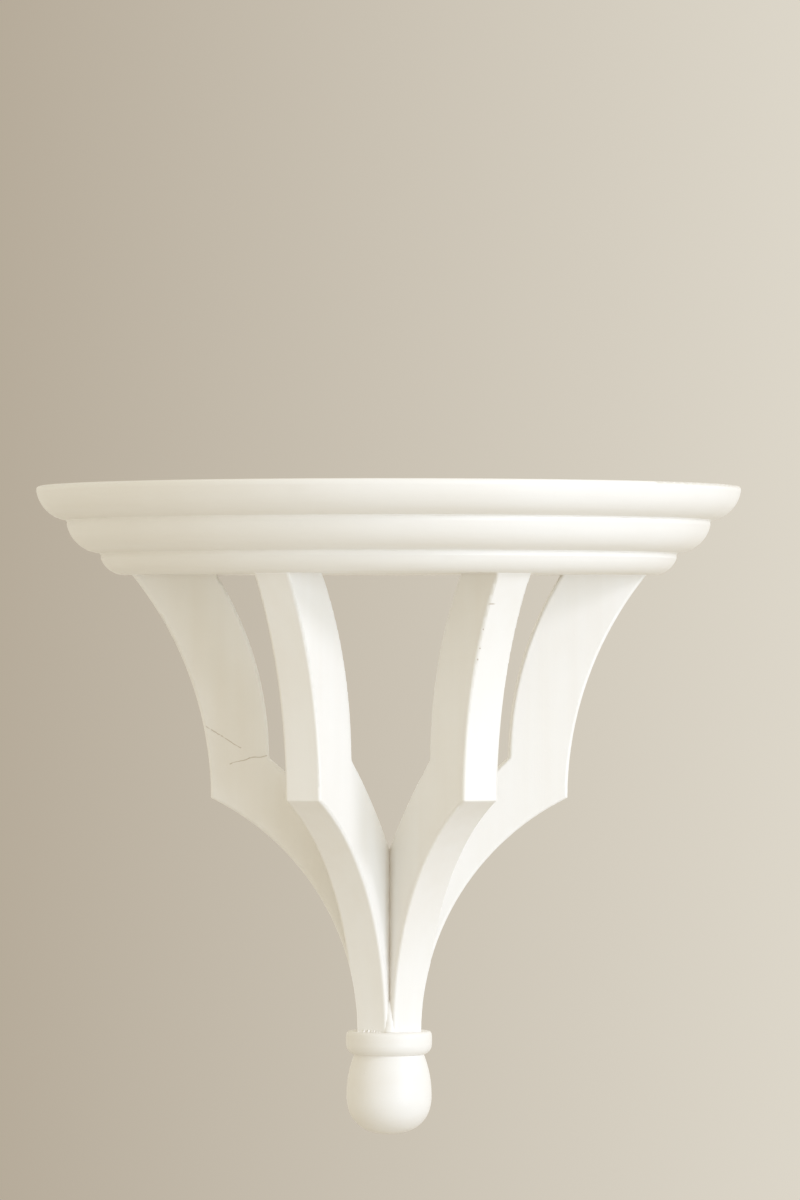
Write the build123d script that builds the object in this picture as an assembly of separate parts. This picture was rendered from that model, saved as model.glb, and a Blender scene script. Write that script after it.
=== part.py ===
"""Half-round wall shelf on four curved ribs that gather into a turned drop finial.

Millimetres. +X is to the right as the shelf is faced, -Y is out from the wall and +Z is up.
The wall is the plane y = 0. The origin lies in it, midway between the round entries of the two
keyhole hangers, so it is the point that two wall screws are set out from.
"""
from build123d import *
from dataclasses import dataclass
import math
import os

# ---- top: three half-round layers, each with a quarter-round edge that turns in under it ----
top_radius = 203.0
top_thickness = 19.5
top_edge_in = 17.0
middle_thickness = 19.0
middle_edge_in = 19.0
lower_thickness = 12.5
lower_edge_in = 14.5
layer_setback = 0.5
edge_band = 3.0
edge_swell = 0.165
top_edge_round = 1.6
layer_edge_round = 0.5

# ---- ribs: curved bands sawn from board, the outer two flat on the wall, the inner two swung out ----
rib_thickness = 22.5
rib_height = 262.0
rib_step_drop = 128.0
rib_kink_drop = 105.0
rib_crotch_rise = 74.0
outer_top_setback = 3.8
outer_top_depth = 48.6
outer_step_in = 45.4
outer_kink_in = 30.1
outer_foot_reach = 18.2
inner_top_setback = 6.5
inner_top_depth = 41.6
inner_step_in = 38.5
inner_kink_in = 35.9
inner_foot_reach = 25.0
inner_rib_angle = 62.0
inner_rib_bury = 16.5
crotch_bow = 4.5
step_round = 1.2
kink_round = 3.0
rib_edge_round = 1.7
rib_top_waste = 4.0

# ---- turned finial: a bead with an acorn drop under it ----
finial_forward = 12.5
bead_radius = 24.7
bead_height = 13.6
bead_top_radius = 22.2
neck_radius = 20.1
drop_radius = 24.5
drop_belly = 37.0
finial_height = 59.3
shoulder_share = 0.72
shoulder_drop_share = 0.76

# ---- keyhole hangers let into the backs of the outer ribs ----
hanger_drop = 34.0
hanger_width = 16.0
hanger_length = 40.0
hanger_thickness = 2.0
hanger_rise = 4.0
keyhole_entry_radius = 4.75
keyhole_slot_width = 5.0
keyhole_slot_rise = 12.0
hanger_screw_spacing = 30.0
pocket_depth = 8.0
pocket_margin = 0.8

# ---- fasteners ----
dowel_radius = 4.0
slim_dowel_radius = 3.0
dowel_chamfer = 0.6
top_dowel_length = 22.0
top_dowel_inset = 27.5
top_dowel_angles = (18.0, 54.0, 90.0, 126.0, 162.0)
layer_screw_length = 27.0
layer_screw_inset = 31.5
layer_screw_angles = (32.0, 90.0, 148.0)
rib_screw_length = 35.0
rib_dowel_length = 18.0
rib_dowel_spacing = 11.0
screw_radius = 2.0
screw_head_radius = 4.0
hanger_screw_radius = 1.5
hanger_screw_head_radius = 2.9
hanger_screw_length = 12.0
joint_dowel_length = 30.0
joint_dowel_rise = 54.0
foot_dowel_length = 16.0
foot_dowel_spread = 8.0
foot_dowel_rise = 37.0
finial_screw_radius = 3.0
finial_screw_length = 50.0

# ---- clearances ----
glue_gap = 0.05
end_gap = 0.5
recess_gap = 0.2

# ---- heights and reaches that follow from the sizes above ----
under_top = hanger_drop
lower_top = under_top + lower_thickness
middle_top = lower_top + middle_thickness
shelf_top = middle_top + top_thickness
rib_foot = under_top - rib_height
middle_radius = top_radius - top_edge_in - layer_setback
lower_radius = middle_radius - middle_edge_in - layer_setback
under_radius = lower_radius - lower_edge_in
inner_rib_forward = rib_thickness - inner_rib_bury
FAR = 2 * (top_radius + rib_height)


@dataclass
class RibShape:
    """Corners of a rib in front view: reach from its inner end, and height with its top at zero."""

    head_out: tuple
    head_in: tuple
    step: tuple
    kink: tuple
    foot: tuple


def rib_shape(top, top_depth, step_in, kink_in, foot):
    """Corners of the rib whose top reaches out to top and is top_depth wide."""
    inside = top - top_depth
    return RibShape(
        head_out=(top, 0),
        head_in=(inside, 0),
        step=(top - step_in, -rib_step_drop),
        kink=(inside - kink_in, -rib_kink_drop),
        foot=(foot, -rib_height),
    )


outer_shape = rib_shape(
    under_radius - outer_top_setback, outer_top_depth, outer_step_in, outer_kink_in, outer_foot_reach
)
inner_shape = rib_shape(
    under_radius - inner_top_setback, inner_top_depth, inner_step_in, inner_kink_in, inner_foot_reach
)
rib_shapes = (outer_shape, inner_shape, inner_shape, outer_shape)


def bowed(start, end, rise):
    """Arc from start to end whose middle stands off the chord by rise, to the left of the way."""
    run, climb = end[0] - start[0], end[1] - start[1]
    span = math.hypot(run, climb)
    middle = ((start[0] + end[0]) / 2 - climb / span * rise, (start[1] + end[1]) / 2 + run / span * rise)
    return ThreePointArc(start, middle, end)


def upright_arc(foot, head):
    """Arc that leaves foot straight up and ends at head."""
    return TangentArc(foot, head, tangent=(0, 1))


def arc_reach(foot, head, height):
    """Reach, at a height, of the arc that leaves foot straight up and ends at head."""
    run, climb = head[0] - foot[0], head[1] - foot[1]
    radius = (run**2 + climb**2) / (2 * run)
    side = math.copysign(1, radius)
    return foot[0] + radius - side * math.sqrt(radius**2 - (height - foot[1]) ** 2)


def along_y(shape, start, end):
    """Extrude a face drawn in the XZ plane, so that it fills start to end along Y."""
    return Pos(0, start, 0) * extrude(Plane.XZ * shape, amount=start - end)


def peg(radius, length):
    """Dowel standing on the origin along +Z, with chamfered ends."""
    rod = Pos(0, 0, length / 2) * Cylinder(radius, length)
    return chamfer(rod.edges().filter_by(GeomType.CIRCLE), dowel_chamfer)


def peg_hole(radius, length):
    """Hole for a dowel that stands on the origin, longer than it by the end gap at each end."""
    bore = length + 2 * end_gap
    return Pos(0, 0, length / 2) * Cylinder(radius + glue_gap, bore)


def screw(radius, head_radius, length):
    """Countersunk screw hanging down from the origin, with a pointed end and a crossed recess."""
    head_depth = head_radius - radius
    tip = 2 * radius
    outline = Polyline(
        (0, 0), (head_radius, 0), (radius, -head_depth), (radius, tip - length), (0, -length), close=True
    )
    body = revolve(Plane.XZ * make_face(outline), Axis.Z)
    arm = Box(1.2 * head_radius, 0.25 * head_radius, 0.9 * head_depth)
    return body - arm - Rot(0, 0, 90) * arm


def screw_hole(radius, head_radius, length):
    """Hole that a screw of these sizes fills, with the glue gap all round and the head's way in."""
    head_depth = head_radius - radius
    wide = radius + glue_gap
    outline = Polyline(
        (0, FAR), (head_radius + glue_gap, FAR), (head_radius + glue_gap, 0), (wide, -head_depth),
        (wide, -length - end_gap), (0, -length - end_gap), close=True,
    )
    return revolve(Plane.XZ * make_face(outline), Axis.Z)


def around(reach, angle, height):
    """Place on the half-round plan: angle runs from +X round through the front to -X."""
    turn = math.radians(angle)
    return Pos(reach * math.cos(turn), -reach * math.sin(turn), height)


# ---- the three layers ----


def half_round(radius, thickness, edge_in, edge_round):
    """Half-round layer with its flat back on the wall, its top at z = 0 and a quarter-round edge."""
    edge_top = (radius, 0)
    edge_low = (radius, -edge_band)
    under = (radius - edge_in, -thickness)
    lines = [
        Line((0, 0), edge_top),
        Line(edge_top, edge_low),
        bowed(edge_low, under, edge_swell * math.dist(edge_low, under)),
        Line(under, (0, -thickness)),
        Line((0, -thickness), (0, 0)),
    ]
    section = make_face(lines)
    corner = section.vertices().sort_by_distance(Vector(radius, 0, 0))[0]
    section = fillet(corner, edge_round)
    return Rot(0, 0, 180) * revolve(Plane.XZ * section, Axis.Z, 180)


def top_dowel_places():
    """Dowels between the top board and the middle moulding, half in each."""
    reach = middle_radius - top_dowel_inset
    return [around(reach, angle, middle_top - top_dowel_length / 2) for angle in top_dowel_angles]


def layer_screw_places():
    """Screws down through the middle moulding into the lower one."""
    reach = under_radius - layer_screw_inset
    return [around(reach, angle, middle_top) for angle in layer_screw_angles]


def make_layers():
    """The three layers, bored for the dowels and screws that hold them together."""
    board = half_round(top_radius, top_thickness, top_edge_in, top_edge_round)
    middle = half_round(middle_radius, middle_thickness, middle_edge_in, layer_edge_round)
    lower = half_round(lower_radius, lower_thickness, lower_edge_in, layer_edge_round)
    board = Pos(0, 0, shelf_top) * board
    middle = Pos(0, 0, middle_top) * middle
    lower = Pos(0, 0, lower_top) * lower
    for place in top_dowel_places():
        bore = place * peg_hole(dowel_radius, top_dowel_length)
        board -= bore
        middle -= bore
    for place in layer_screw_places():
        bore = place * screw_hole(screw_radius, screw_head_radius, layer_screw_length)
        middle -= bore
        lower -= bore
    for screw_bore, dowel_bore in rib_top_bores():
        lower = lower - screw_bore - dowel_bore
    return board, middle, lower


# ---- the four ribs ----


def rib_outline(shape):
    """Front view of a rib before its top is cut level, with the outer step and the inner kink eased."""
    heel = (0, -rib_height)
    crotch = (0, rib_crotch_rise - rib_height)
    end_out = (arc_reach(shape.step, shape.head_out, rib_top_waste), rib_top_waste)
    end_in = (arc_reach(shape.kink, shape.head_in, rib_top_waste), rib_top_waste)
    lines = [
        Line(end_in, end_out),
        upright_arc(shape.step, end_out),
        upright_arc(shape.foot, shape.step),
        Line(shape.foot, heel),
        Line(heel, crotch),
        bowed(crotch, shape.kink, crotch_bow),
        upright_arc(shape.kink, end_in),
    ]
    outline = make_face(lines)
    outline = fillet(outline.vertices().sort_by_distance(Vector(*shape.step, 0))[0], step_round)
    return fillet(outline.vertices().sort_by_distance(Vector(*shape.kink, 0))[0], kink_round)


def rib_blank(shape):
    """Rib about the plane y = 0, reaching along +X, its long edges eased and its top cut level."""
    blank = along_y(rib_outline(shape), rib_thickness / 2, -rib_thickness / 2)
    sides = blank.faces().filter_by(Plane.XZ)
    blank = fillet(sides.edges().filter_by(GeomType.CIRCLE), rib_edge_round)
    return blank - Pos(0, 0, FAR / 2) * Box(FAR, FAR, FAR)


def inner_rib_room():
    """Room for the right inner rib: in front of the outer rib, right of the centre, inside its lower line."""
    step, foot = outer_shape.step, outer_shape.foot
    lines = [
        Line((0, -FAR), (foot[0], -FAR)),
        Line((foot[0], -FAR), foot),
        upright_arc(foot, step),
        Line(step, (FAR, step[1])),
        Line((FAR, step[1]), (FAR, FAR)),
        Line((FAR, FAR), (0, FAR)),
        Line((0, FAR), (0, -FAR)),
    ]
    return Pos(0, 0, under_top) * along_y(make_face(lines), -rib_thickness, -FAR)


def outer_place(side):
    """Where a right (+1) or left (-1) outer rib stands: flat against the wall."""
    turn = 0 if side > 0 else 180
    return Pos(0, -rib_thickness / 2, under_top) * Rot(0, 0, turn)


def inner_place(side):
    """Where a right (+1) or left (-1) inner rib stands: swung out from the wall."""
    turn = -inner_rib_angle if side > 0 else inner_rib_angle - 180
    return Pos(0, -inner_rib_forward, under_top) * Rot(0, 0, turn)


def rib_places():
    """The four ribs' places, from the left round to the right."""
    return [outer_place(-1), inner_place(-1), inner_place(1), outer_place(1)]


def rib_screw_reach(shape):
    """Midway between a rib's inside at its top and its outside at the tip of the screw."""
    tip = lower_thickness - rib_screw_length
    return (shape.head_in[0] + arc_reach(shape.step, shape.head_out, tip)) / 2


def rib_screw_places():
    """The screws down through the lower moulding, one into the top of each rib."""
    return [
        place * Pos(rib_screw_reach(shape), 0, lower_thickness)
        for place, shape in zip(rib_places(), rib_shapes)
    ]


def rib_dowel_places():
    """The dowels that keep the ribs from turning, half in each rib and half in the lower moulding."""
    return [
        place * Pos(rib_screw_reach(shape) + rib_dowel_spacing, 0, -rib_dowel_length / 2)
        for place, shape in zip(rib_places(), rib_shapes)
    ]


def rib_top_bores():
    """Each rib's screw hole and dowel hole, in the order of the ribs."""
    screw_bore = screw_hole(screw_radius, screw_head_radius, rib_screw_length)
    dowel_bore = peg_hole(slim_dowel_radius, rib_dowel_length)
    return [
        (at_screw * screw_bore, at_dowel * dowel_bore)
        for at_screw, at_dowel in zip(rib_screw_places(), rib_dowel_places())
    ]


def joint_dowel_place():
    """Dowel that joins the outer ribs end to end, along X across the centre line."""
    return Pos(-joint_dowel_length / 2, -rib_thickness / 2, rib_foot + joint_dowel_rise) * Rot(0, 90, 0)


def foot_dowel_place(side):
    """Dowel from an outer rib's front forward into the inner rib of the same side."""
    back = foot_dowel_length / 2 - rib_thickness
    return Pos(side * foot_dowel_spread, back, rib_foot + foot_dowel_rise) * Rot(90, 0, 0)


def make_ribs():
    """The four ribs, from the left round to the right, jointed and bored."""
    ribs = [
        place * rib_blank(shape) - bores[0] - bores[1]
        for place, shape, bores in zip(rib_places(), rib_shapes, rib_top_bores())
    ]
    room = inner_rib_room()
    ribs[1] &= mirror(room, Plane.YZ)
    ribs[2] &= room
    across = joint_dowel_place() * peg_hole(dowel_radius, joint_dowel_length)
    upward = finial_screw_place() * peg_hole(finial_screw_radius, finial_screw_length)
    for index, side in ((0, -1), (3, 1)):
        ribs[index] = ribs[index] - across - upward - hanger_place(side) * hanger_recess()
    for index, side in ((0, -1), (1, -1), (2, 1), (3, 1)):
        ribs[index] -= foot_dowel_place(side) * peg_hole(slim_dowel_radius, foot_dowel_length)
    return ribs


# ---- the keyhole hangers ----


def hanger_reach():
    """How far a keyhole is from the centre: the middle of the outer rib there, to the millimetre."""
    outside = arc_reach(outer_shape.step, outer_shape.head_out, -hanger_drop)
    inside = arc_reach(outer_shape.kink, outer_shape.head_in, -hanger_drop)
    return round((outside + inside) / 2)


def hanger_place(side):
    """Centre of a keyhole's round entry, on the wall plane."""
    return Pos(side * hanger_reach(), 0, 0)


def hanger_screw_places():
    """The two screws of one hanger, pointing into the rib, set from the keyhole's entry."""
    heights = (hanger_rise - hanger_screw_spacing / 2, hanger_rise + hanger_screw_spacing / 2)
    return [Pos(0, 0, z) * Rot(-90, 0, 0) for z in heights]


def upright_slot(width, length, rise):
    """Upright round-ended face, its middle lifted by rise."""
    return Pos(0, rise) * Rot(0, 0, 90) * SlotOverall(length, width)


def keyhole_hanger():
    """Steel plate with a keyhole and two countersunk holes, its back on the plane y = 0."""
    plate = along_y(upright_slot(hanger_width, hanger_length, hanger_rise), 0, -hanger_thickness)
    slot = Pos(0, keyhole_slot_rise / 2) * Rectangle(keyhole_slot_width, keyhole_slot_rise)
    slot_end = Pos(0, keyhole_slot_rise) * Circle(keyhole_slot_width / 2)
    keyhole = Circle(keyhole_entry_radius) + slot + slot_end
    plate -= along_y(keyhole, hanger_thickness, -2 * hanger_thickness)
    for place in hanger_screw_places():
        plate -= place * screw_hole(hanger_screw_radius, hanger_screw_head_radius, hanger_screw_length)
    return plate


def hanger_recess():
    """What is cut from a rib for a hanger: its seat, the space for the wall screw's head, the screws."""
    seat_width = hanger_width + 2 * recess_gap
    seat_length = hanger_length + 2 * recess_gap
    seat = along_y(upright_slot(seat_width, seat_length, hanger_rise), hanger_thickness, -hanger_thickness)
    head_room = keyhole_entry_radius + pocket_margin
    pocket_face = upright_slot(2 * head_room, keyhole_slot_rise + 2 * head_room, keyhole_slot_rise / 2)
    recess = seat + along_y(pocket_face, 0, -hanger_thickness - pocket_depth)
    for place in hanger_screw_places():
        recess += place * screw_hole(hanger_screw_radius, hanger_screw_head_radius, hanger_screw_length)
    return recess


# ---- the finial ----


def finial_screw_place():
    """Double-ended screw in the finial's axis, half in the ribs and half in the finial."""
    return Pos(0, -finial_forward, rib_foot - finial_screw_length / 2)


def make_finial():
    """Bead and acorn drop turned in one piece, planed flat where it meets the wall."""
    bead_side = (bead_radius, -bead_height / 2)
    neck = (neck_radius, -bead_height)
    belly = (drop_radius, -drop_belly)
    bottom = (0, -finial_height)
    shoulder_height = drop_belly + shoulder_drop_share * (finial_height - drop_belly)
    shoulder = (shoulder_share * drop_radius, -shoulder_height)
    lines = [
        Line((0, 0), (bead_top_radius, 0)),
        Spline((bead_top_radius, 0), bead_side, tangents=((1, 0), (0, -1))),
        Spline(bead_side, neck, tangents=((0, -1), (-1, -0.35))),
        upright_arc(belly, neck),
        Spline(belly, shoulder, bottom, tangents=((0, -1), (-1, 0))),
        Line(bottom, (0, 0)),
    ]
    turned = Pos(0, -finial_forward, rib_foot) * revolve(Plane.XZ * make_face(lines), Axis.Z)
    behind_wall = Pos(0, FAR / 2, 0) * Box(FAR, FAR, FAR)
    screw_bore = finial_screw_place() * peg_hole(finial_screw_radius, finial_screw_length)
    return turned - behind_wall - screw_bore


def double_screw(radius, length):
    """Double-ended screw with a point at each end, standing on the origin."""
    tip = 2 * radius
    outline = Polyline((0, 0), (radius, tip), (radius, length - tip), (0, length), close=True)
    return revolve(Plane.XZ * make_face(outline), Axis.Z)


# ---- writing the sub-parts ----


def save(name, pieces):
    """Write one sub-part, a single solid or a group of separate ones, to its own file."""
    shape = Compound(children=pieces) if len(pieces) > 1 else pieces[0]
    export_step(shape, f"parts/{name}.step")


def save_wood():
    """The painted wooden pieces."""
    for name, layer in zip(("top_board", "middle_moulding", "lower_moulding"), make_layers()):
        save(name, [layer])
    names = ("left_outer_rib", "left_inner_rib", "right_inner_rib", "right_outer_rib")
    for name, rib in zip(names, make_ribs()):
        save(name, [rib])
    save("finial", [make_finial()])


def save_metal():
    """The hangers and the screws."""
    hanger_screw = screw(hanger_screw_radius, hanger_screw_head_radius, hanger_screw_length)
    hanger_screws = []
    for name, side in (("left_keyhole_hanger", -1), ("right_keyhole_hanger", 1)):
        save(name, [hanger_place(side) * keyhole_hanger()])
        hanger_screws += [hanger_place(side) * place * hanger_screw for place in hanger_screw_places()]
    save("hanger_screws", hanger_screws)
    layer_screw = screw(screw_radius, screw_head_radius, layer_screw_length)
    save("layer_screws", [place * layer_screw for place in layer_screw_places()])
    rib_screw = screw(screw_radius, screw_head_radius, rib_screw_length)
    save("rib_screws", [place * rib_screw for place in rib_screw_places()])
    save("finial_screw", [finial_screw_place() * double_screw(finial_screw_radius, finial_screw_length)])


def save_dowels():
    """The beech dowels."""
    top_dowel = peg(dowel_radius, top_dowel_length)
    save("top_dowels", [place * top_dowel for place in top_dowel_places()])
    rib_dowel = peg(slim_dowel_radius, rib_dowel_length)
    save("rib_dowels", [place * rib_dowel for place in rib_dowel_places()])
    save("outer_rib_dowel", [joint_dowel_place() * peg(dowel_radius, joint_dowel_length)])
    foot_dowel = peg(slim_dowel_radius, foot_dowel_length)
    save("inner_rib_dowels", [foot_dowel_place(side) * foot_dowel for side in (-1, 1)])


os.makedirs("parts", exist_ok=True)
save_wood()
save_metal()
save_dowels()
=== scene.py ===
"""Half-round wall shelf in brushed ivory paint: its finishes, its small handmade traces, light and camera.

Metres. +X is to the right as the shelf is faced, -Y is out from the wall and +Z is up.
"""
import logging
import math
from dataclasses import dataclass
from enum import Enum

import bpy
import numpy as np
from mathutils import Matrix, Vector


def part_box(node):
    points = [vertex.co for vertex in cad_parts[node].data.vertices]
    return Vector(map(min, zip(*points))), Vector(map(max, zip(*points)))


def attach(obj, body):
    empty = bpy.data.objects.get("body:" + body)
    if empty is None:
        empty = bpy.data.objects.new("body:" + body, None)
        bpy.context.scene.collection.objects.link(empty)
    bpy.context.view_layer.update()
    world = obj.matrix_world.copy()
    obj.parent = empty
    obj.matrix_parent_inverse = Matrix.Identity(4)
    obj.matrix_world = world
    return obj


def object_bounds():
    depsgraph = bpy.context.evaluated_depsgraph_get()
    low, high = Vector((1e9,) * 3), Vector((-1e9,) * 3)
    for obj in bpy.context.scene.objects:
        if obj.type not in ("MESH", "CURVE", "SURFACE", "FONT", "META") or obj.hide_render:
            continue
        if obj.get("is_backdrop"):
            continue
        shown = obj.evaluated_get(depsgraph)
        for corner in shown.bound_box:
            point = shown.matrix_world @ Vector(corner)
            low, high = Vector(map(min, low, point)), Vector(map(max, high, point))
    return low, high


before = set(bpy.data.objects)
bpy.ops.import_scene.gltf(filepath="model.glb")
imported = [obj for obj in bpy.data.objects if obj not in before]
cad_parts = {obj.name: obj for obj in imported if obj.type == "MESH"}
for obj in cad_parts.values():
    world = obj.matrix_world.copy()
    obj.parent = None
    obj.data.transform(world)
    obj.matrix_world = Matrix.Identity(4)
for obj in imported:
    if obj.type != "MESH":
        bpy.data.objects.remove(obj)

log = logging.getLogger("shelf")
MM = 0.001
Point = tuple[float, float, float]
Colour = tuple[float, float, float]

# How fine the marks are, per metre: along the stroke or the grain first, then twice across it.
BRISTLE_PITCH = (9.0, 900.0, 900.0)
BAND_PITCH = (5.0, 95.0, 95.0)
RING_PITCH = (6.0, 110.0, 110.0)
PORE_PITCH = (45.0, 1500.0, 1500.0)
CRACK_WANDER = 3.0 * MM
# The radius at which a turn about the upright axis is read as a length.
ROUND_RADIUS = 0.15

UP = np.array([0.0, 0.0, 1.0])
TUBE_SIDES = 16


class StrokeWay(Enum):
    """Which way the brush was drawn over a piece."""

    ROUND = "round"
    UPRIGHT = "upright"


# ---- node helpers ----


class NodeSheet:
    """A node tree with short calls to add nodes and join them."""

    def __init__(self, tree: bpy.types.NodeTree) -> None:
        """Start from an empty tree.

        Args:
            tree: the material's or group's own tree.
        """
        self.tree = tree
        self.tree.nodes.clear()

    def add(self, kind: str, **values: object) -> bpy.types.Node:
        """Add a node and set its plain properties.

        Args:
            kind: Blender's name for the node type.
            values: properties of the node, such as operation.

        Returns:
            The new node.
        """
        node = self.tree.nodes.new(kind)
        for name, value in values.items():
            setattr(node, name, value)
        return node

    def join(self, source: object, target: bpy.types.NodeSocket) -> None:
        """Feed a socket from another socket, or set it to a plain value.

        Args:
            source: a socket, or a value that the target can hold.
            target: the socket to feed.
        """
        if isinstance(source, bpy.types.NodeSocket):
            self.tree.links.new(source, target)
        else:
            target.default_value = source

    def maths(self, operation: str, *inputs: object, clamp: bool = False) -> bpy.types.NodeSocket:
        """One scalar sum.

        Args:
            operation: Blender's name for the sum.
            inputs: up to three numbers or sockets.
            clamp: whether the result is kept between 0 and 1.

        Returns:
            The result's socket.
        """
        node = self.add("ShaderNodeMath", operation=operation, use_clamp=clamp)
        for value, socket in zip(inputs, node.inputs):
            self.join(value, socket)
        return node.outputs[0]

    def vectors(self, operation: str, *inputs: object) -> bpy.types.Node:
        """One vector sum.

        Args:
            operation: Blender's name for the sum.
            inputs: up to three vectors or sockets.

        Returns:
            The node, whose Vector or Value output the caller reads.
        """
        node = self.add("ShaderNodeVectorMath", operation=operation)
        for value, socket in zip(inputs, node.inputs):
            self.join(value, socket)
        return node

    def spread(
        self, value: object, low: object, high: object, to_low: float = 0.0, to_high: float = 1.0
    ) -> bpy.types.NodeSocket:
        """Map a value from one range to another with soft ends, and hold it there.

        Args:
            value: a number or a socket.
            low: the value that gives to_low.
            high: the value that gives to_high.
            to_low: the result at low.
            to_high: the result at high.

        Returns:
            The result's socket.
        """
        node = self.add("ShaderNodeMapRange", interpolation_type="SMOOTHSTEP")
        for given, name in ((value, "Value"), (low, "From Min"), (high, "From Max")):
            self.join(given, node.inputs[name])
        node.inputs["To Min"].default_value = to_low
        node.inputs["To Max"].default_value = to_high
        return node.outputs["Result"]

    def noise(
        self, where: object, scale: float, detail: float = 2.0, roughness: float = 0.5
    ) -> bpy.types.NodeSocket:
        """Cloudy noise between 0 and 1.

        Args:
            where: the place to look it up at.
            scale: clouds per metre, roughly.
            detail: how many finer layers are added.
            roughness: how strong the finer layers are.

        Returns:
            The noise's socket.
        """
        node = self.add("ShaderNodeTexNoise")
        self.join(where, node.inputs["Vector"])
        node.inputs["Scale"].default_value = scale
        node.inputs["Detail"].default_value = detail
        node.inputs["Roughness"].default_value = roughness
        return node.outputs["Fac"]

    def blend(self, share: object, first: object, second: object) -> bpy.types.NodeSocket:
        """Mix two colours.

        Args:
            share: how much of the second, 0 to 1.
            first: a colour or a socket.
            second: a colour or a socket.

        Returns:
            The mixed colour's socket.
        """
        node = self.add("ShaderNodeMix", data_type="RGBA", blend_type="MIX")
        for value, index in ((share, 0), (first, 6), (second, 7)):
            self.join(value, node.inputs[index])
        return node.outputs[2]

    def upright(self, height: object) -> bpy.types.NodeSocket:
        """An upright vector.

        Args:
            height: its length, a number or a socket.

        Returns:
            The vector's socket.
        """
        node = self.add("ShaderNodeCombineXYZ")
        self.join(height, node.inputs["Z"])
        return node.outputs["Vector"]

    def bump(self, height: object, strength: float, depth: float) -> bpy.types.NodeSocket:
        """The normal of a surface raised by a height.

        Args:
            height: the height's socket.
            strength: how strongly it shows.
            depth: what a height of one stands for, in metres.

        Returns:
            The normal's socket.
        """
        node = self.add("ShaderNodeBump")
        node.inputs["Strength"].default_value = strength
        node.inputs["Distance"].default_value = depth
        self.join(height, node.inputs["Height"])
        return node.outputs["Normal"]

    def shader(self, colour: object, rough: object, normal: object = None) -> bpy.types.Node:
        """A Principled shader.

        Args:
            colour: its base colour.
            rough: its roughness.
            normal: its normal, or None for the mesh's own.

        Returns:
            The shader's node, for the caller to set what else it needs.
        """
        node = self.add("ShaderNodeBsdfPrincipled")
        for name, source in (("Base Color", colour), ("Roughness", rough), ("Normal", normal)):
            if source is not None:
                self.join(source, node.inputs[name])
        return node

    def put_out(self, shader: bpy.types.Node, kind: str = "ShaderNodeOutputMaterial") -> None:
        """Make a shader the tree's surface.

        Args:
            shader: the shader's node.
            kind: Blender's name for the output node.
        """
        self.join(shader.outputs[0], self.add(kind).inputs["Surface"])

    def group(self, tree: bpy.types.NodeTree, **inputs: object) -> bpy.types.Node:
        """Place a shared effect and feed its inputs.

        Args:
            tree: the effect's node group.
            inputs: what each named input is fed with.

        Returns:
            The group's node.
        """
        node = self.add("ShaderNodeGroup")
        node.node_tree = tree
        for name, value in inputs.items():
            self.join(value, node.inputs[name])
        return node


def opaque(colour: Colour) -> tuple[float, float, float, float]:
    """A colour with full alpha, as a colour socket takes it.

    Args:
        colour: red, green and blue.

    Returns:
        The same with alpha 1.
    """
    return (*colour, 1.0)


def new_material(name: str) -> tuple[bpy.types.Material, NodeSheet]:
    """A material with an empty node tree.

    Args:
        name: the material's name.

    Returns:
        The material and the sheet of its nodes.
    """
    made = bpy.data.materials.new(name)
    made.use_nodes = True
    return made, NodeSheet(made.node_tree)


class SharedEffect:
    """A shader node group that several finishes use, made once."""

    def __init__(self, name: str, inputs: dict[str, object], outputs: tuple[str, ...]) -> None:
        """Make the group and its sockets.

        Args:
            name: the group's name.
            inputs: each input's name and first value, a number or a triple.
            outputs: the names of the values that it puts out.
        """
        self.tree = bpy.data.node_groups.new(name, "ShaderNodeTree")
        self.sheet = NodeSheet(self.tree)
        for key, value in inputs.items():
            kind = "NodeSocketVector" if isinstance(value, tuple) else "NodeSocketFloat"
            socket = self.tree.interface.new_socket(key, in_out="INPUT", socket_type=kind)
            socket.default_value = value
        for key in outputs:
            self.tree.interface.new_socket(key, in_out="OUTPUT", socket_type="NodeSocketFloat")
        self.given = self.sheet.add("NodeGroupInput").outputs
        self.result = self.sheet.add("NodeGroupOutput").inputs


def edge_effect() -> bpy.types.NodeTree:
    """Where a surface turns sharply: the rounded normal's lean away from the true one, broken by noise.

    Returns:
        The group, which puts out the edge and the edge broken by noise.
    """
    effect = SharedEffect("eased_edges", {"Vector": (0.0, 0.0, 0.0), "Reach": 2.0 * MM}, ("Edge", "Worn"))
    sheet = effect.sheet
    rounded = sheet.add("ShaderNodeBevel", samples=6)
    sheet.join(effect.given["Reach"], rounded.inputs["Radius"])
    true = sheet.add("ShaderNodeNewGeometry").outputs["Normal"]
    lean = sheet.vectors("DOT_PRODUCT", rounded.outputs["Normal"], true).outputs["Value"]
    edge = sheet.spread(sheet.maths("SUBTRACT", 1.0, lean), 0.01, 0.22)
    patchy = sheet.spread(sheet.noise(effect.given["Vector"], 170.0, 4.0), 0.5, 0.68)
    sheet.join(edge, effect.result["Edge"])
    sheet.join(sheet.maths("MULTIPLY", edge, patchy), effect.result["Worn"])
    return effect.tree


def corner_shade_effect() -> bpy.types.NodeTree:
    """Painted shade in corners: how far a place is shut in by what stands near it, from ambient occlusion.

    Returns:
        The group, which puts out how far a place is shut in.
    """
    effect = SharedEffect("painted_corner_shade_mask", {"Vector": (0.0, 0.0, 0.0), "Reach": 6.0 * MM}, ("Shut In",))
    sheet = effect.sheet
    open_share = sheet.add("ShaderNodeAmbientOcclusion", samples=12)
    sheet.join(effect.given["Reach"], open_share.inputs["Distance"])
    shut = sheet.maths("SUBTRACT", 1.0, open_share.outputs["AO"])
    uneven = sheet.spread(sheet.noise(effect.given["Vector"], 90.0, 3.0), 0.25, 0.7, 0.55, 1.0)
    sheet.join(sheet.maths("MULTIPLY", sheet.spread(shut, 0.28, 0.85), uneven), effect.result["Shut In"])
    return effect.tree


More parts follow.
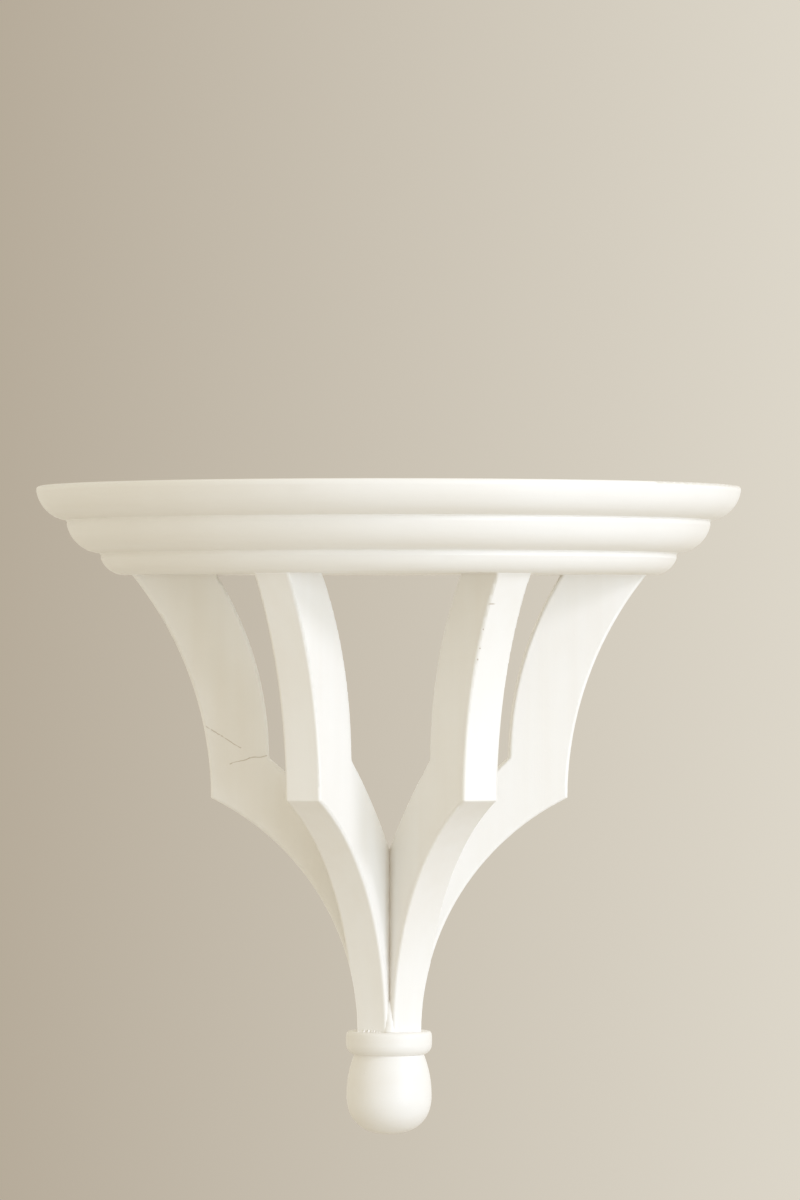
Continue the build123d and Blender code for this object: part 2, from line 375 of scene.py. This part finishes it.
def stroke_effect() -> bpy.types.NodeTree:
    """Bristle marks: noise squeezed across the stroke and drawn out along it, in bands that come and go.

    Returns:
        The group, which puts out the marks' height and the bands.
    """
    effect = SharedEffect("brush_strokes", {"Way": (0.0, 0.0, 0.0)}, ("Height", "Band"))
    sheet = effect.sheet
    bristles = sheet.vectors("MULTIPLY", effect.given["Way"], BRISTLE_PITCH).outputs["Vector"]
    bands = sheet.vectors("MULTIPLY", effect.given["Way"], BAND_PITCH).outputs["Vector"]
    fine = sheet.noise(bristles, 1.0, 3.0, 0.6)
    wide = sheet.noise(bands, 1.0, 2.0)
    height = sheet.maths("MULTIPLY_ADD", fine, sheet.spread(wide, 0.35, 0.7, 0.25, 1.0), wide)
    sheet.join(height, effect.result["Height"])
    sheet.join(wide, effect.result["Band"])
    return effect.tree


def line_effect() -> bpy.types.NodeTree:
    """A hair-thin line: the distance from a place to the nearest point of a straight run, with a wander.

    Returns:
        The group, which puts out one on the line and nothing away from it.
    """
    nowhere = (0.0, 0.0, 0.0)
    inputs = {"Vector": nowhere, "From": nowhere, "To": (0.0, 0.0, 1.0), "Width": 0.3 * MM}
    effect = SharedEffect("hair_line", inputs, ("Line",))
    sheet = effect.sheet
    waver = sheet.noise(effect.given["Vector"], 130.0, 3.0)
    wander = sheet.maths("MULTIPLY_ADD", waver, CRACK_WANDER, -CRACK_WANDER / 2)
    here = sheet.vectors("ADD", effect.given["Vector"], sheet.upright(wander)).outputs["Vector"]
    run = sheet.vectors("SUBTRACT", effect.given["To"], effect.given["From"]).outputs["Vector"]
    away = sheet.vectors("SUBTRACT", here, effect.given["From"]).outputs["Vector"]
    along = sheet.vectors("DOT_PRODUCT", away, run).outputs["Value"]
    square = sheet.vectors("DOT_PRODUCT", run, run).outputs["Value"]
    share = sheet.maths("DIVIDE", along, square, clamp=True)
    scaled = sheet.add("ShaderNodeVectorMath", operation="SCALE")
    sheet.join(run, scaled.inputs[0])
    sheet.join(share, scaled.inputs["Scale"])
    gap = sheet.vectors("DISTANCE", away, scaled.outputs["Vector"]).outputs["Value"]
    close = sheet.maths("SUBTRACT", 1.0, sheet.spread(gap, 0.0, effect.given["Width"]))
    broken = sheet.spread(sheet.noise(effect.given["Vector"], 420.0, 2.0), 0.3, 0.5, 0.35, 1.0)
    sheet.join(sheet.maths("MULTIPLY", close, broken), effect.result["Line"])
    return effect.tree


def grain_effect() -> bpy.types.NodeTree:
    """Timber: long soft bands across the grain, with fine pores drawn out along it.

    Returns:
        The group, which puts out the bands and the pores.
    """
    effect = SharedEffect("timber_grain", {"Way": (0.0, 0.0, 0.0)}, ("Rings", "Pores"))
    sheet = effect.sheet
    slow = sheet.vectors("MULTIPLY", effect.given["Way"], RING_PITCH).outputs["Vector"]
    quick = sheet.vectors("MULTIPLY", effect.given["Way"], PORE_PITCH).outputs["Vector"]
    sheet.join(sheet.noise(slow, 1.0, 3.0, 0.55), effect.result["Rings"])
    sheet.join(sheet.spread(sheet.noise(quick, 1.0, 1.0), 0.6, 0.72), effect.result["Pores"])
    return effect.tree


@dataclass(frozen=True)
class Effects:
    """The shared effects, each made once."""

    edge: bpy.types.NodeTree
    # corner feeds the painted shade in corners.
    corner: bpy.types.NodeTree
    stroke: bpy.types.NodeTree
    line: bpy.types.NodeTree
    grain: bpy.types.NodeTree

    @classmethod
    def make(cls) -> "Effects":
        """Build them all.

        Returns:
            The effects.
        """
        return cls(edge_effect(), corner_shade_effect(), stroke_effect(), line_effect(), grain_effect())


# ---- finishes ----


@dataclass(frozen=True)
class HairLine:
    """A crack in the paint from one place to another."""

    start: Point
    end: Point
    width: float = 0.45 * MM


@dataclass(frozen=True)
class Speck:
    """A small brown mark in the paint, longer than it is high, seen from the front."""

    centre: Point
    half_length: float = 0.8 * MM
    half_height: float = 0.5 * MM


@dataclass(frozen=True)
class BrushedPaint:
    """Warm white paint laid on by brush, in one or two coats that leave the strokes and soft edges."""

    name: str
    way: StrokeWay
    body: Colour = (0.905, 0.897, 0.868)
    shade: Colour = (0.88, 0.86, 0.815)
    # This colour is painted shade: a warm brown laid where near parts shut a place in.
    corner: Colour = (0.60, 0.51, 0.39)
    # This colour is a painted highlight, laid along the rounded edges.
    edge_highlight: Colour = (0.97, 0.965, 0.95)
    crack: Colour = (0.42, 0.33, 0.23)
    edge_highlight_share: float = 0.9
    edge_reach: float = 1.6 * MM
    corner_shade_share: float = 0.42
    corner_shade_reach: float = 8.0 * MM
    crack_share: float = 0.62
    relief_strength: float = 0.45
    relief_depth: float = 0.16 * MM
    roughness: float = 0.46
    lines: tuple[HairLine, ...] = ()
    specks: tuple[Speck, ...] = ()

    def stroke_place(self, sheet: NodeSheet, place: bpy.types.NodeSocket) -> bpy.types.NodeSocket:
        """Coordinates that run along the brush's way first: an arc length round the axis, or height.

        Args:
            sheet: the material's nodes.
            place: Object coordinates.

        Returns:
            A vector socket, its first number along the stroke and the others across it.
        """
        parts = sheet.add("ShaderNodeSeparateXYZ")
        sheet.join(place, parts.inputs[0])
        x, y, z = parts.outputs
        node = sheet.add("ShaderNodeCombineXYZ")
        if self.way is StrokeWay.UPRIGHT:
            for value, socket in zip((z, x, y), node.inputs):
                sheet.join(value, socket)
            return node.outputs["Vector"]
        flat = sheet.add("ShaderNodeCombineXYZ")
        sheet.join(x, flat.inputs["X"])
        sheet.join(y, flat.inputs["Y"])
        reach = sheet.vectors("LENGTH", flat.outputs["Vector"]).outputs["Value"]
        turn = sheet.maths("ARCTAN2", y, x)
        sheet.join(sheet.maths("MULTIPLY", turn, ROUND_RADIUS), node.inputs["X"])
        sheet.join(reach, node.inputs["Y"])
        sheet.join(z, node.inputs["Z"])
        return node.outputs["Vector"]

    def speck_mask(
        self, sheet: NodeSheet, place: bpy.types.NodeSocket, speck: Speck
    ) -> bpy.types.NodeSocket:
        """One in the middle of a speck and nothing outside it: an ellipse in front view.

        Args:
            sheet: the material's nodes.
            place: Object coordinates.
            speck: the mark.

        Returns:
            The mask's socket.
        """
        away = sheet.vectors("SUBTRACT", place, speck.centre).outputs["Vector"]
        squeeze = (1 / speck.half_length, 0.0, 1 / speck.half_height)
        ellipse = sheet.vectors("MULTIPLY", away, squeeze).outputs["Vector"]
        far = sheet.vectors("LENGTH", ellipse).outputs["Value"]
        return sheet.spread(far, 0.35, 1.1, 1.0, 0.0)

    def material(self, effects: Effects) -> bpy.types.Material:
        """The material: tone from slow noise and bands, painted shade in corners and a painted highlight on
        edges.

        Args:
            effects: the shared effects.

        Returns:
            The finished material.
        """
        made, sheet = new_material(self.name)
        place = sheet.add("ShaderNodeTexCoord").outputs["Object"]
        stroke = sheet.group(effects.stroke, Way=self.stroke_place(sheet, place)).outputs
        grain = sheet.group(effects.grain, Way=self.stroke_place(sheet, place)).outputs
        edge = sheet.group(effects.edge, Vector=place, Reach=self.edge_reach).outputs
        corner = sheet.group(effects.corner, Vector=place, Reach=self.corner_shade_reach).outputs["Shut In"]
        cloud = sheet.noise(place, 14.0, 3.0)
        tone = sheet.maths("MULTIPLY_ADD", stroke["Band"], 0.55, sheet.maths("MULTIPLY", cloud, 0.6))
        colour = sheet.blend(sheet.spread(tone, 0.3, 0.85), opaque(self.body), opaque(self.shade))
        # Painted highlight: the rounded edges are lightened towards a near white.
        bright = sheet.maths("MULTIPLY", edge["Edge"], self.edge_highlight_share)
        colour = sheet.blend(bright, colour, opaque(self.edge_highlight))
        # Painted shade: the colour turns warm brown where the place is shut in.
        painted_shade_amount = sheet.maths("MULTIPLY", corner, self.corner_shade_share)
        colour = sheet.blend(painted_shade_amount, colour, opaque(self.corner))
        dents: list[bpy.types.NodeSocket] = []
        for line in self.lines:
            mask = sheet.group(effects.line, Vector=place, From=line.start, To=line.end, Width=line.width)
            dents.append(mask.outputs["Line"])
        for speck in self.specks:
            dents.append(self.speck_mask(sheet, place, speck))
        for mask in dents:
            brown = sheet.maths("MULTIPLY", mask, self.crack_share)
            colour = sheet.blend(brown, colour, opaque(self.crack))
        nibs = sheet.spread(sheet.noise(place, 700.0, 1.0), 0.66, 0.78)
        height = sheet.maths("MULTIPLY_ADD", stroke["Height"], 0.5, sheet.maths("MULTIPLY", nibs, 0.35))
        height = sheet.maths("MULTIPLY_ADD", grain["Rings"], 0.5, height)
        height = sheet.maths("MULTIPLY_ADD", sheet.noise(place, 60.0, 2.0), 1.3, height)
        for mask in dents:
            height = sheet.maths("MULTIPLY_ADD", mask, -2.5, height)
        normal = sheet.bump(height, self.relief_strength, self.relief_depth)
        rough = sheet.maths("MULTIPLY_ADD", stroke["Band"], 0.16, self.roughness - 0.08)
        rough = sheet.maths("MULTIPLY_ADD", corner, 0.2, rough)
        shader = sheet.shader(colour, rough, normal)
        shader.inputs["IOR"].default_value = 1.47
        sheet.put_out(shader)
        return made


@dataclass(frozen=True)
class PlatedSteel:
    """Bright steel with a thin plating: drawn marks, a little bloom, and painted shade that dulls its
    corners.
    """

    name: str
    bright: Colour
    dull: Colour
    roughness: float

    def material(self, effects: Effects) -> bpy.types.Material:
        """Metal whose tone and gloss follow drawn marks, cloudy bloom and painted shade in its corners.

        Args:
            effects: the shared effects.

        Returns:
            The finished material.
        """
        made, sheet = new_material(self.name)
        place = sheet.add("ShaderNodeTexCoord").outputs["Object"]
        marks = sheet.group(effects.stroke, Way=place).outputs
        edge = sheet.group(effects.edge, Vector=place, Reach=0.5 * MM).outputs
        corner = sheet.group(effects.corner, Vector=place, Reach=1.5 * MM).outputs["Shut In"]
        bloom = sheet.spread(sheet.noise(place, 260.0, 4.0), 0.4, 0.7)
        # The dull colour stands for bloom, and for painted shade where a corner shuts the place in.
        bloom_and_painted_shade = sheet.maths("MAXIMUM", sheet.maths("MULTIPLY", bloom, 0.5), corner)
        colour = sheet.blend(bloom_and_painted_shade, opaque(self.bright), opaque(self.dull))
        rough = sheet.maths("MULTIPLY_ADD", bloom_and_painted_shade, 0.22, self.roughness)
        rough = sheet.maths("MULTIPLY_ADD", edge["Worn"], -0.08, rough)
        shader = sheet.shader(colour, rough, sheet.bump(marks["Height"], 0.25, 0.03 * MM))
        shader.inputs["Metallic"].default_value = 1.0
        sheet.put_out(shader)
        return made


@dataclass(frozen=True)
class BareBeech:
    """Unfinished beech dowel: pale brown, with short dark flecks along the grain."""

    name: str
    pale: Colour = (0.62, 0.44, 0.27)
    dark: Colour = (0.44, 0.28, 0.15)

    def material(self, effects: Effects) -> bpy.types.Material:
        """Wood whose tone follows the grain's rings, with its pores cut in.

        Args:
            effects: the shared effects.

        Returns:
            The finished material.
        """
        made, sheet = new_material(self.name)
        place = sheet.add("ShaderNodeTexCoord").outputs["Object"]
        turned = sheet.add("ShaderNodeMapping")
        turned.inputs["Rotation"].default_value = (0.0, math.pi / 2, 0.0)
        sheet.join(place, turned.inputs["Vector"])
        grain = sheet.group(effects.grain, Way=turned.outputs["Vector"]).outputs
        colour = sheet.blend(sheet.spread(grain["Rings"], 0.3, 0.7), opaque(self.pale), opaque(self.dark))
        colour = sheet.blend(sheet.maths("MULTIPLY", grain["Pores"], 0.5), colour, opaque(self.dark))
        rough = sheet.maths("MULTIPLY_ADD", grain["Rings"], 0.2, 0.55)
        normal = sheet.bump(sheet.maths("MULTIPLY", grain["Pores"], -1.0), 0.3, 0.05 * MM)
        sheet.put_out(sheet.shader(colour, rough, normal))
        return made


def dress(node: str, material: bpy.types.Material) -> None:
    """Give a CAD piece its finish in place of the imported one.

    Args:
        node: the piece's name.
        material: the finish.
    """
    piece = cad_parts[node]
    piece.data.materials.clear()
    piece.data.materials.append(material)


def place_object(name: str, data: bpy.types.ID) -> bpy.types.Object:
    """Put a mesh, a lamp or a camera into the scene.

    Args:
        name: the new object's name.
        data: what it holds.

    Returns:
        The new object.
    """
    made = bpy.data.objects.new(name, data)
    bpy.context.scene.collection.objects.link(made)
    return made


def ring_index(points: np.ndarray) -> tuple[np.ndarray, np.ndarray]:
    """The place in the mesh of each point, and of the next one round its ring.

    Args:
        points: rings by points in a ring by 3.

    Returns:
        Two arrays, rings by points in a ring.
    """
    rows, columns = points.shape[:2]
    index = np.arange(rows * columns).reshape(rows, columns)
    return index, np.roll(index, -1, axis=1)


def surface(name: str, points: np.ndarray) -> bpy.types.Object:
    """A closed mesh from a row of rings: quads between neighbours and a cap at each end.

    Args:
        name: the piece's name.
        points: rings by points in a ring by 3.

    Returns:
        The new object.
    """
    index, after = ring_index(points)
    quads = np.stack([index[:-1], after[:-1], after[1:], index[1:]], axis=-1).reshape(-1, 4)
    mesh = bpy.data.meshes.new(name)
    faces = quads.tolist() + [index[0, ::-1].tolist(), index[-1].tolist()]
    mesh.from_pydata(points.reshape(-1, 3).tolist(), [], faces)
    mesh.validate()
    mesh.polygons.foreach_set("use_smooth", [True] * len(mesh.polygons))
    mesh.update()
    return place_object(name, mesh)


def tube(
    name: str, middle: np.ndarray, radius: np.ndarray, first: np.ndarray, second: np.ndarray
) -> bpy.types.Object:
    """A closed tube: each ring is cos(turn) of one way across plus sin(turn) of the other.

    Its faces look outward when the first way crossed with the second points along the line.

    Args:
        name: the piece's name.
        middle: rows by 3, the line that it follows.
        radius: one per row.
        first: the way across at turn 0, for every row or one for all.
        second: the way across at a quarter turn, likewise.

    Returns:
        The new object.
    """
    turn = np.linspace(0.0, 2 * math.pi, TUBE_SIDES, endpoint=False)[None, :, None]
    first = np.broadcast_to(first, middle.shape)[:, None, :]
    second = np.broadcast_to(second, middle.shape)[:, None, :]
    ring = np.cos(turn) * first + np.sin(turn) * second
    return surface(name, middle[:, None, :] + radius[:, None, None] * ring)


def add_paint(piece: bpy.types.Object, way: StrokeWay, effects: Effects) -> None:
    """Paint a small added piece and let it ride with the shelf.

    Args:
        piece: the added piece.
        way: which way the brush was drawn over it.
        effects: the shared effects.
    """
    paint = BrushedPaint(piece.name, way, roughness=0.4)
    piece.data.materials.append(paint.material(effects))
    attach(piece, "root")
    log.info("added %s", piece.name)


# ---- sub-assemblies ----


@dataclass
class Layers:
    """The three half-round layers of the top, brushed round their edges."""

    nodes: tuple[str, ...] = ("top_board", "middle_moulding", "lower_moulding")
    joint_size: float = 0.62 * MM
    # The angle left bare at each end of a groove, in radians.
    joint_end: float = 0.008
    joint_sink: float = 0.1 * MM
    joint_drop: float = 0.05 * MM

    def joint_paint(self, name: str, under: str) -> bpy.types.Object:
        """Paint that fills the groove over a layer's rim: a thin half ring that swells by slow sines.

        Args:
            name: the piece's name.
            under: the layer whose upper rim the groove runs along.

        Returns:
            The new piece.
        """
        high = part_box(under)[1]
        turn = np.linspace(self.joint_end, math.pi - self.joint_end, 240)
        out = np.stack([np.cos(turn), -np.sin(turn), 0.0 * turn], axis=-1)
        radius = self.joint_size * (1.0 + 0.12 * np.sin(turn * 41.0) + 0.08 * np.sin(turn * 97.0))
        middle = out * (high.x - self.joint_sink)
        middle[:, 2] = high.z - self.joint_drop
        return tube(name, middle, radius, out, UP)

    def build(self, effects: Effects) -> None:
        """Dress each layer in paint whose strokes run round the rim, and fill the grooves between them.

        Args:
            effects: the shared effects.
        """
        for node in self.nodes:
            dress(node, BrushedPaint(f"{node}_paint", StrokeWay.ROUND).material(effects))
            log.info("dressed %s", node)
        for name, under in zip(("upper_joint_paint", "lower_joint_paint"), self.nodes[1:]):
            add_paint(self.joint_paint(name, under), StrokeWay.ROUND, effects)


@dataclass
class Ribs:
    """The four curved ribs, brushed along their length, with their cracks and specks."""

    groove_bottom: float = 30.0 * MM
    groove_paint_size: float = 2.3 * MM
    groove_paint_rise: float = 18.0 * MM
    groove_paint_lean: float = 0.72
    groove_paint_stretch: float = 1.5
    outer_crack: tuple[float, float] = (42.6 * MM, 86.7 * MM)
    outer_crack_end: tuple[float, float] = (62.6 * MM, 99.4 * MM)
    kink_crack: tuple[float, float] = (56.3 * MM, 108.5 * MM)
    kink_crack_middle: tuple[float, float] = (67.2 * MM, 105.1 * MM)
    kink_crack_end: tuple[float, float] = (77.5 * MM, 103.9 * MM)
    # In mm: in from the rib's outer side, down from its top, half the length and half the height.
    speck_marks: tuple[tuple[float, float, float, float], ...] = (
        (22.0, 17.4, 2.3, 0.45),
        (26.6, 31.6, 0.6, 0.6),
        (28.3, 42.2, 0.6, 0.55),
        (29.5, 48.4, 0.55, 0.7),
    )

    def on_left_face(self, place: tuple[float, float]) -> Point:
        """A place on the left outer rib's face.

        Args:
            place: how far in from the rib's outer end, and how far down from its top.

        Returns:
            The place in the shelf's frame.
        """
        low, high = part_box("left_outer_rib")
        return (low.x + place[0], low.y, high.z - place[1])

    def left_cracks(self) -> tuple[HairLine, ...]:
        """One straight crack near the step and one that bends up to the kink.

        Returns:
            The cracks, the bent one as two straight runs.
        """
        straight = HairLine(self.on_left_face(self.outer_crack), self.on_left_face(self.outer_crack_end))
        middle = self.on_left_face(self.kink_crack_middle)
        bent = HairLine(self.on_left_face(self.kink_crack), middle)
        rest = HairLine(middle, self.on_left_face(self.kink_crack_end))
        return (straight, bent, rest)

    def right_specks(self) -> tuple[Speck, ...]:
        """A short dash and three dots down the left edge of the right inner rib's front.

        Returns:
            The dash and the dots.
        """
        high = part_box("right_inner_rib")[1]
        return tuple(
            Speck((high.x - across * MM, 0.0, high.z - down * MM), length * MM, tall * MM)
            for across, down, length, tall in self.speck_marks
        )

    def groove_paint(self) -> bpy.types.Object:
        """Paint that closes the foot of the groove between the inner ribs.

        It is an upright tube whose radius falls from the foot up as a root of the height left, with a
        slow sine for the unevenness, and whose middle draws back towards the groove's bottom as it thins.

        Returns:
            The new piece.
        """
        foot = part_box("left_inner_rib")[0].z
        share = np.linspace(0.0, 1.0, 60)
        radius = self.groove_paint_size * (0.06 + 0.94 * (1.0 - share) ** 0.55)
        radius = radius * (1.0 + 0.03 * np.sin(share * 23.0))
        forward = -self.groove_bottom - self.groove_paint_lean * radius
        middle = np.stack([0.0 * share, forward, foot + share * self.groove_paint_rise], -1)
        wide = np.array([self.groove_paint_stretch, 0.0, 0.0])
        return tube("groove_paint", middle, radius, wide, np.array([0.0, 1.0, 0.0]))

    def build(self, effects: Effects) -> None:
        """Dress each rib in paint whose strokes run up and down it, and close the groove's foot.

        Args:
            effects: the shared effects.
        """
        marks: dict[str, dict[str, object]] = {
            "left_outer_rib": {"lines": self.left_cracks()},
            "left_inner_rib": {},
            "right_inner_rib": {"specks": self.right_specks()},
            "right_outer_rib": {},
        }
        for node, extra in marks.items():
            dress(node, BrushedPaint(f"{node}_paint", StrokeWay.UPRIGHT, **extra).material(effects))
            log.info("dressed %s", node)
        add_paint(self.groove_paint(), StrokeWay.UPRIGHT, effects)


@dataclass
class Finial:
    """The turned drop, and the glue that squeezed out where the left rib stands on it."""

    bead_size: float = 1.2 * MM
    thinnest: float = 0.02 * MM
    squeeze_start: tuple[float, float] = (-17.9 * MM, -24.7 * MM)
    squeeze_end: tuple[float, float] = (-4.6 * MM, -32.2 * MM)
    rings: int = 90
    lumps: int = 9

    def squeeze_path(self, share: np.ndarray) -> np.ndarray:
        """The line where the left inner rib's front meets the bead, from its outer corner inwards.

        Args:
            share: 0 to 1 along the line.

        Returns:
            One point for each share.
        """
        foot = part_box("left_outer_rib")[0].z
        start = np.array([*self.squeeze_start, foot])
        end = np.array([*self.squeeze_end, foot])
        return start + share[:, None] * (end - start)

    def squeeze_out(self) -> bpy.types.Object:
        """A row of small lumps of glue: a tube along the joint whose radius swells and shrinks.

        The swell is a sine whose pace another sine shifts, raised to a power below one so that the lumps
        are full and the necks short. A slow sine makes the lumps uneven, and the square root of a half
        sine takes the radius down to almost nothing at both ends.

        Returns:
            The new piece.
        """
        share = np.linspace(0.0, 1.0, self.rings)
        path = self.squeeze_path(share)
        swell = 0.5 + 0.5 * np.sin(share * self.lumps * 2 * math.pi + 0.8 * np.sin(share * 17.0))
        taper = np.sqrt(np.clip(np.sin(share * math.pi), 0.0, 1.0))
        radius = self.bead_size * taper * (0.35 + 0.65 * swell**0.7) * (1.0 + 0.25 * np.sin(share * 31.0))
        radius = np.maximum(radius, self.thinnest)
        run = path[-1] - path[0]
        side = np.cross(UP, run / np.linalg.norm(run))
        return tube("glue_squeeze_out", path, radius, side, UP)

    def build(self, effects: Effects) -> None:
        """Dress the finial and add the glue.

        Args:
            effects: the shared effects.
        """
        dress("finial", BrushedPaint("finial_paint", StrokeWay.ROUND).material(effects))
        add_paint(self.squeeze_out(), StrokeWay.UPRIGHT, effects)
        log.info("dressed the finial")


@dataclass
class Hardware:
    """Hangers, screws and dowels."""

    screws: tuple[str, ...] = ("finial_screw", "layer_screws", "rib_screws", "hanger_screws")
    hangers: tuple[str, ...] = ("left_keyhole_hanger", "right_keyhole_hanger")
    dowels: tuple[str, ...] = ("top_dowels", "rib_dowels", "outer_rib_dowel", "inner_rib_dowels")

    def build(self, effects: Effects) -> None:
        """Dress the metal and the dowels.

        Args:
            effects: the shared effects.
        """
        zinc = PlatedSteel("zinc_plate", (0.66, 0.66, 0.62), (0.40, 0.39, 0.36), 0.3).material(effects)
        steel = PlatedSteel("pressed_steel", (0.58, 0.58, 0.58), (0.33, 0.32, 0.31), 0.36).material(effects)
        beech = BareBeech("bare_beech").material(effects)
        for names, material in ((self.screws, zinc), (self.hangers, steel), (self.dowels, beech)):
            for node in names:
                dress(node, material)
                log.info("dressed %s", node)


# ---- stage ----


@dataclass
class Stage:
    """A pale floor well below the shelf, a soft key and a broad fill from the right, and a warm surround.

    The camera sees the surround as a backdrop of its own, darker to the left as a painted shadow, which
    does not light the shelf.
    """

    surround: Colour = (0.815, 0.76, 0.642)
    # The backdrop's darker left end is a painted shadow.
    backdrop_left_in_painted_shadow: Colour = (0.47, 0.41, 0.325)
    backdrop_right: Colour = (0.72, 0.675, 0.585)
    floor_drop: float = 0.26
    floor_reach: float = 3.0
    floor_fade: tuple[float, float] = (0.6, 2.6)
    floor_pale: Colour = (0.70, 0.665, 0.60)
    floor_deep: Colour = (0.67, 0.635, 0.57)
    floor_rings: int = 24
    floor_sides: int = 96
    lamp_distance: float = 3.0
    key_way: Point = (0.78, -0.50, 0.38)
    key_size: float = 0.55
    key_power: float = 21.7
    key_colour: Colour = (0.80, 0.84, 1.0)
    fill_way: Point = (0.63, -0.78, 0.0)
    fill_size: float = 1.6
    fill_power: float = 36.0
    fill_colour: Colour = (0.64, 0.78, 1.0)

    def floor(self) -> bpy.types.Object:
        """A round floor: points at even angles on rings whose radii grow from the middle.

        Returns:
            The new object.
        """
        radius = np.linspace(0.02, 1.0, self.floor_rings) ** 1.5 * self.floor_reach
        turn = np.linspace(0.0, 2 * math.pi, self.floor_sides, endpoint=False)
        flat = np.stack([np.cos(turn), np.sin(turn), np.zeros_like(turn)], axis=-1)
        points = radius[:, None, None] * flat[None]
        points[..., 2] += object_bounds()[0][2] - self.floor_drop
        index, after = ring_index(points)
        quads = np.stack([index[:-1], index[1:], after[1:], after[:-1]], axis=-1).reshape(-1, 4)
        mesh = bpy.data.meshes.new("floor")
        mesh.from_pydata(points.reshape(-1, 3).tolist(), [], quads.tolist() + [index[0].tolist()])
        return place_object("floor", mesh)

    def floor_material(self) -> bpy.types.Material:
        """Matt pale floor that thins out to nothing towards its rim and is clear from below.

        Returns:
            The finished material.
        """
        made, sheet = new_material("pale_floor")
        place = sheet.add("ShaderNodeTexCoord").outputs["Object"]
        far = sheet.vectors("LENGTH", place).outputs["Value"]
        tone = sheet.blend(sheet.noise(place, 3.0), opaque(self.floor_pale), opaque(self.floor_deep))
        matt = sheet.shader(tone, 0.9)
        clear = sheet.add("ShaderNodeBsdfTransparent")
        behind = sheet.add("ShaderNodeNewGeometry").outputs["Backfacing"]
        share = sheet.maths("MAXIMUM", sheet.spread(far, *self.floor_fade), behind)
        mix = sheet.add("ShaderNodeMixShader")
        for source, socket in zip((share, matt.outputs[0], clear.outputs[0]), mix.inputs):
            sheet.join(source, socket)
        sheet.put_out(mix)
        return made

    def world(self) -> None:
        """Light of one warm tone from everywhere; the camera sees a backdrop that deepens to the left as a
        painted shadow.
        """
        world = bpy.data.worlds.new("surround")
        world.use_nodes = True
        sheet = NodeSheet(world.node_tree)
        seen = sheet.add("ShaderNodeLightPath").outputs["Is Camera Ray"]
        across = sheet.add("ShaderNodeSeparateXYZ")
        sheet.join(sheet.add("ShaderNodeTexCoord").outputs["Window"], across.inputs[0])
        backdrop = sheet.blend(across.outputs["X"], opaque(self.backdrop_left_in_painted_shadow), opaque(self.backdrop_right))
        background = sheet.add("ShaderNodeBackground")
        sheet.join(sheet.blend(seen, opaque(self.surround), backdrop), background.inputs["Color"])
        sheet.put_out(background, "ShaderNodeOutputWorld")
        bpy.context.scene.world = world

    def lamp(self, name: str, way: Point, size: float, power: float, colour: Colour) -> None:
        """An area light that stands off the shelf's middle along a way and faces it.

        Args:
            name: the lamp's name.
            way: the direction from the shelf to the lamp.
            size: the side of its square.
            power: its power in watts.
            colour: its colour.
        """
        data = bpy.data.lights.new(name, "AREA")
        data.size = size
        data.energy = power
        data.color = colour
        lamp = place_object(name, data)
        low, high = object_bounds()
        middle = (Vector(low) + Vector(high)) / 2
        towards = Vector(way).normalized()
        lamp.location = middle + towards * self.lamp_distance
        lamp.rotation_euler = towards.to_track_quat("Z", "Y").to_euler()

    def build(self) -> None:
        """Make the floor, the surround and the lamps."""
        floor = self.floor()
        floor.data.materials.append(self.floor_material())
        floor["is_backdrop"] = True
        self.world()
        self.lamp("key", self.key_way, self.key_size, self.key_power, self.key_colour)
        self.lamp("fill", self.fill_way, self.fill_size, self.fill_power, self.fill_colour)
        bpy.context.scene.view_settings.view_transform = "Standard"
        log.info("set the stage")


@dataclass
class Viewpoint:
    """The camera: far off, a little left of the middle and level with the ribs."""

    place: Point = (-0.065, -3.808, -0.0057)
    aim: Point = (0.00655, 0.0, 0.0197)
    lens: float = 198.0
    sensor: float = 36.0

    def build(self) -> None:
        """Place the camera and make it the scene's own."""
        data = bpy.data.cameras.new("camera")
        data.lens = self.lens
        data.sensor_width = self.sensor
        data.clip_end = 50.0
        camera = place_object("camera", data)
        camera.location = self.place
        way = Vector(self.place) - Vector(self.aim)
        camera.rotation_euler = way.to_track_quat("Z", "Y").to_euler()
        bpy.context.scene.camera = camera
        log.info("placed the camera")


def main() -> None:
    """Build the shelf in order."""
    logging.basicConfig(level=logging.INFO, format="%(name)s: %(message)s")
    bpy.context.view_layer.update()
    effects = Effects.make()
    for part in (Layers(), Ribs(), Finial(), Hardware()):
        part.build(effects)
    Stage().build()
    Viewpoint().build()


if __name__ == "__main__":
    main()
